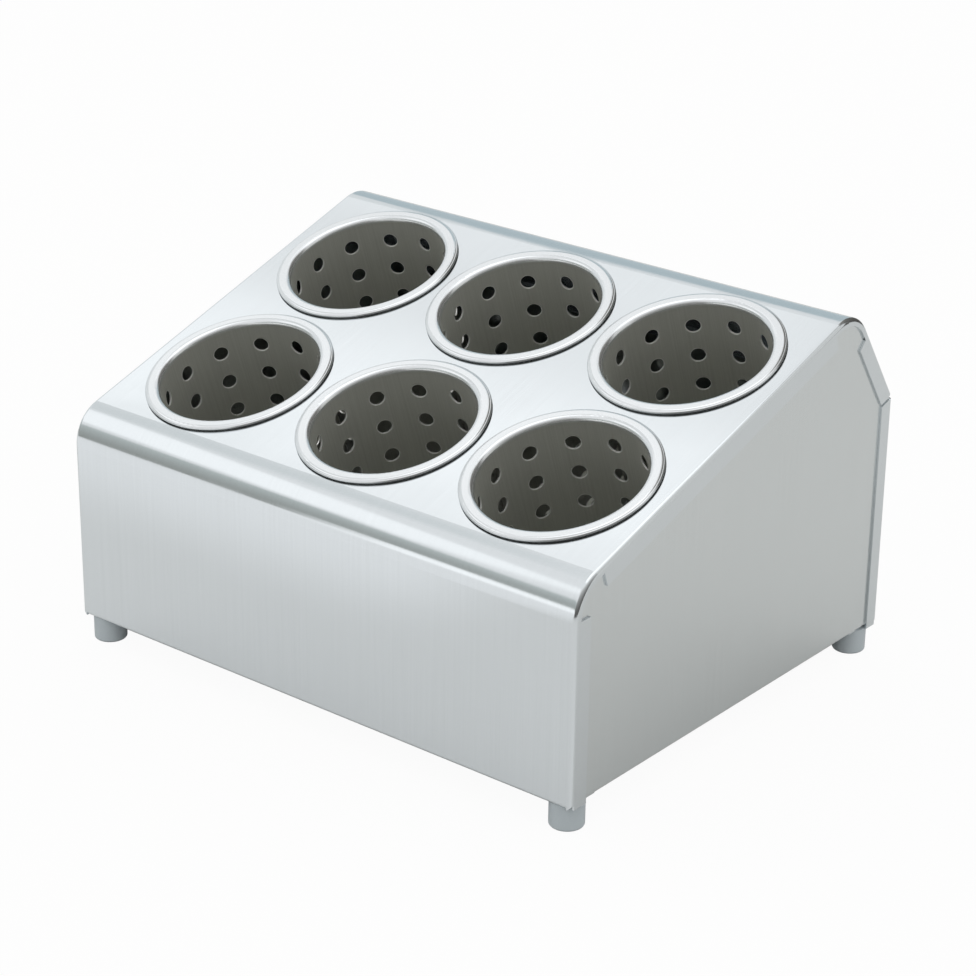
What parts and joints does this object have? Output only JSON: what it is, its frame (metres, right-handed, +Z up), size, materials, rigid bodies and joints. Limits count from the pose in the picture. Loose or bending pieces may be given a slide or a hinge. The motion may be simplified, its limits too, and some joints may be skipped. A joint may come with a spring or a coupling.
{
  "type": "cutlery cylinder holder",
  "caption": "Stainless counter-top cutlery holder: a folded housing with a sloping deck of round holes, perforated cylinders that hang in them by rolled rims, and short plastic feet.",
  "frame": {"origin": "centre of the footprint, on the plane of the feet's bottoms", "axes": "+X to the right along the front, +Y from the front to the back, +Z up"},
  "size_m": [0.376, 0.3048, 0.2274],
  "materials": {
    "housing_steel": "fine brushed stainless sheet, grain along the front",
    "cylinder_steel": "satin stainless sheet with a polished rim",
    "foot_plastic": "matt light grey moulded plastic",
    "zinc_fasteners": "dull zinc plate"
  },
  "bodies": {
    "housing": {"deck_shell": "housing_steel", "left_side_panel": "housing_steel", "right_side_panel": "housing_steel", "back_panel": "housing_steel", "front_left_foot": "foot_plastic", "front_right_foot": "foot_plastic", "rear_left_foot": "foot_plastic", "rear_right_foot": "foot_plastic", "foot_screws": "zinc_fasteners", "foot_washers": "zinc_fasteners", "foot_nuts": "zinc_fasteners"},
    "front_left_cylinder_body": {"front_left_cylinder": "cylinder_steel", "front_left_base": "cylinder_steel"},
    "front_middle_cylinder_body": {"front_middle_cylinder": "cylinder_steel", "front_middle_base": "cylinder_steel"},
    "front_right_cylinder_body": {"front_right_cylinder": "cylinder_steel", "front_right_base": "cylinder_steel"},
    "rear_left_cylinder_body": {"rear_left_cylinder": "cylinder_steel", "rear_left_base": "cylinder_steel"},
    "rear_middle_cylinder_body": {"rear_middle_cylinder": "cylinder_steel", "rear_middle_base": "cylinder_steel"},
    "rear_right_cylinder_body": {"rear_right_cylinder": "cylinder_steel", "rear_right_base": "cylinder_steel"}
  },
  "joints": [
    {"name": "front_left_lift", "type": "slide", "parent": "housing", "child": "front_left_cylinder_body", "axis": [0, -0.3173, 0.9483], "range_m": [0, 0.15]},
    {"name": "front_middle_lift", "type": "slide", "parent": "housing", "child": "front_middle_cylinder_body", "axis": [0, -0.3173, 0.9483], "range_m": [0, 0.15]},
    {"name": "front_right_lift", "type": "slide", "parent": "housing", "child": "front_right_cylinder_body", "axis": [0, -0.3173, 0.9483], "range_m": [0, 0.15]},
    {"name": "rear_left_lift", "type": "slide", "parent": "housing", "child": "rear_left_cylinder_body", "axis": [0, -0.3173, 0.9483], "range_m": [0, 0.15]},
    {"name": "rear_middle_lift", "type": "slide", "parent": "housing", "child": "rear_middle_cylinder_body", "axis": [0, -0.3173, 0.9483], "range_m": [0, 0.15]},
    {"name": "rear_right_lift", "type": "slide", "parent": "housing", "child": "rear_right_cylinder_body", "axis": [0, -0.3173, 0.9483], "range_m": [0, 0.15]}
  ]
}
